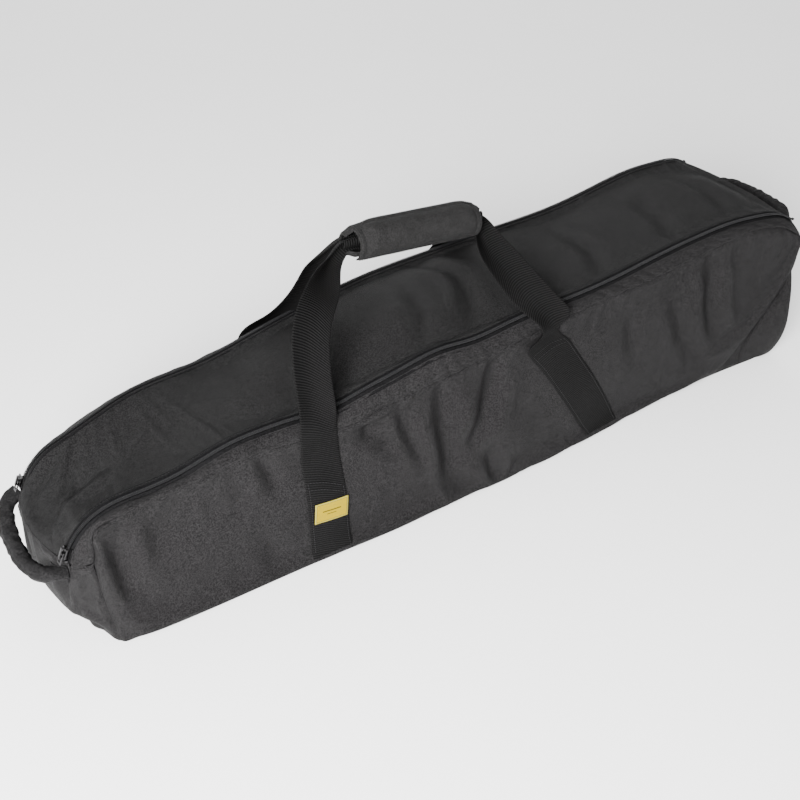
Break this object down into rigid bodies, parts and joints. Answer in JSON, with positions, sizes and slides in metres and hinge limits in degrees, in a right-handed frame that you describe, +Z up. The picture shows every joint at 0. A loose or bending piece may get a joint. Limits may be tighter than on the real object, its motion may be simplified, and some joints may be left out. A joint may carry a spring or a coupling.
{
  "type": "telescope carry case",
  "caption": "Long soft fabric carry case with a zipped lid, webbing straps joined by a padded grip, a fabric handle at each end and a stiffened flat base.",
  "frame": {"origin": "middle of the base's underside, on the surface that the case stands on", "axes": "+X along the case from its low end to its high end, +Y from the labelled front to the back, +Z up"},
  "size_m": [1.051, 0.2488, 0.3292],
  "materials": {
    "shell_fabric": "matt black 600-denier polyester weave with a faint sheen",
    "webbing": "ribbed black polypropylene webbing",
    "grip_fabric": "padded black polyester with a stitched border",
    "zip_tape": "woven black zip tape",
    "zip_coil": "black nylon coil, slightly glossy",
    "dark_metal": "dark nickel, glossy",
    "board": "stiff black board",
    "foam": "soft closed-cell foam",
    "hook_and_loop": "black hook-and-loop tape",
    "label": "plain woven yellow label with a pale border"
  },
  "bodies": {
    "case": {"base_panel": "shell_fabric", "base_board": "board", "front_panel": "shell_fabric", "back_panel": "shell_fabric", "left_end_panel": "shell_fabric", "right_end_panel": "shell_fabric", "lid_panel": "shell_fabric", "front_facing": "shell_fabric", "back_facing": "shell_fabric", "front_case_tape": "zip_tape", "front_case_coil": "zip_coil", "front_lid_tape": "zip_tape", "front_lid_coil": "zip_coil", "back_case_tape": "zip_tape", "back_case_coil": "zip_coil", "back_lid_tape": "zip_tape", "back_lid_coil": "zip_coil", "zip_end_stops": "zip_coil", "left_belt": "webbing", "right_belt": "webbing", "front_left_leg": "webbing", "front_right_leg": "webbing", "back_left_leg": "webbing", "back_right_leg": "webbing", "woven_label": "label", "left_handle_tabs": "shell_fabric", "right_handle_tabs": "shell_fabric"},
    "lid_flap": {"lid_flap_panel": "shell_fabric", "front_flap_tape": "zip_tape", "front_flap_coil": "zip_coil", "back_flap_tape": "zip_tape", "back_flap_coil": "zip_coil"},
    "front_slider": {"front_slider_body": "dark_metal"},
    "back_slider": {"back_slider_body": "dark_metal"},
    "front_pull": {"front_pull": "dark_metal"},
    "back_pull": {"back_pull": "dark_metal"},
    "grip": {"grip_wrap": "grip_fabric", "grip_foam": "foam", "grip_loop_tape": "hook_and_loop", "front_grip_webbing": "webbing", "back_grip_webbing": "webbing"},
    "grip_flap": {"grip_flap_cover": "grip_fabric", "grip_hook_tape": "hook_and_loop"},
    "left_handle": {"left_handle_cover": "shell_fabric", "left_handle_core": "foam"},
    "right_handle": {"right_handle_cover": "shell_fabric", "right_handle_core": "foam"}
  },
  "joints": [
    {"name": "lid_fold", "type": "hinge", "parent": "case", "child": "lid_flap", "pos_m": [0.151, 0, 0.21025], "axis": [0, -1, 0], "range_deg": [0, 100]},
    {"name": "front_slider_run", "type": "hinge", "parent": "case", "child": "front_slider", "pos_m": [-0.4136, -0.084, 0.09587], "axis": [0, 1, 0], "range_deg": [0, 50]},
    {"name": "back_slider_run", "type": "hinge", "parent": "case", "child": "back_slider", "pos_m": [-0.4136, 0.042, 0.09587], "axis": [0, 1, 0], "range_deg": [0, 50]},
    {"name": "front_pull_swing", "type": "hinge", "parent": "front_slider", "child": "front_pull", "pos_m": [-0.47826, -0.084, 0.12602], "axis": [0, 1, 0], "range_deg": [0, 170]},
    {"name": "back_pull_swing", "type": "hinge", "parent": "back_slider", "child": "back_pull", "pos_m": [-0.47826, 0.042, 0.12602], "axis": [0, 1, 0], "range_deg": [0, 170]},
    {"name": "grip_drop", "type": "slide", "parent": "case", "child": "grip", "axis": [0, 0, -1], "range_m": [0, 0.04], "deforming": ["front_left_leg", "front_right_leg", "back_left_leg", "back_right_leg"]},
    {"name": "grip_flap_open", "type": "hinge", "parent": "grip", "child": "grip_flap", "pos_m": [-0.01522, 0.0037, 0.31369], "axis": [-0.9871, 0, 0.1599], "range_deg": [0, 120]},
    {"name": "left_handle_swing", "type": "hinge", "parent": "case", "child": "left_handle", "pos_m": [-0.488, -0.015, 0.098], "axis": [0, 1, 0], "range_deg": [-60, 35]},
    {"name": "right_handle_swing", "type": "hinge", "parent": "case", "child": "right_handle", "pos_m": [0.5, -0.015, 0.188], "axis": [0, 1, 0], "range_deg": [-35, 60]}
  ]
}
